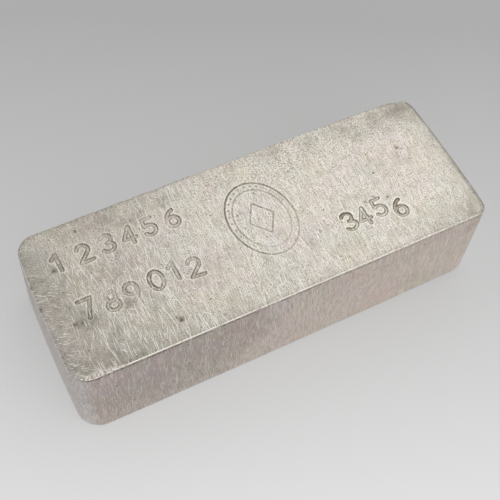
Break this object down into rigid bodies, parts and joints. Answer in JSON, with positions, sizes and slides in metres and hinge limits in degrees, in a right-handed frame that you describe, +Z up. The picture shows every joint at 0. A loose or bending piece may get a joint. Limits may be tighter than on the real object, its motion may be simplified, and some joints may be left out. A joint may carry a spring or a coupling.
{
  "type": "tin ingot",
  "caption": "Hand-cast tin alloy (pewter) bar: a long drafted block with round corners, a filed top edge and a flat underside, to melt or cut up as raw stock.",
  "frame": {"origin": "middle of the underside, the face that the bar lies on", "axes": "+X along the bar, +Y across it, +Z up from the underside to the marked face"},
  "size_m": [0.1072, 0.0424, 0.0254],
  "materials": {
    "tin": "cast tin alloy, filed and scratch brushed, dull grey oxide with warm tone"
  },
  "bodies": {
    "root": {"ingot": "tin"}
  },
  "joints": []
}
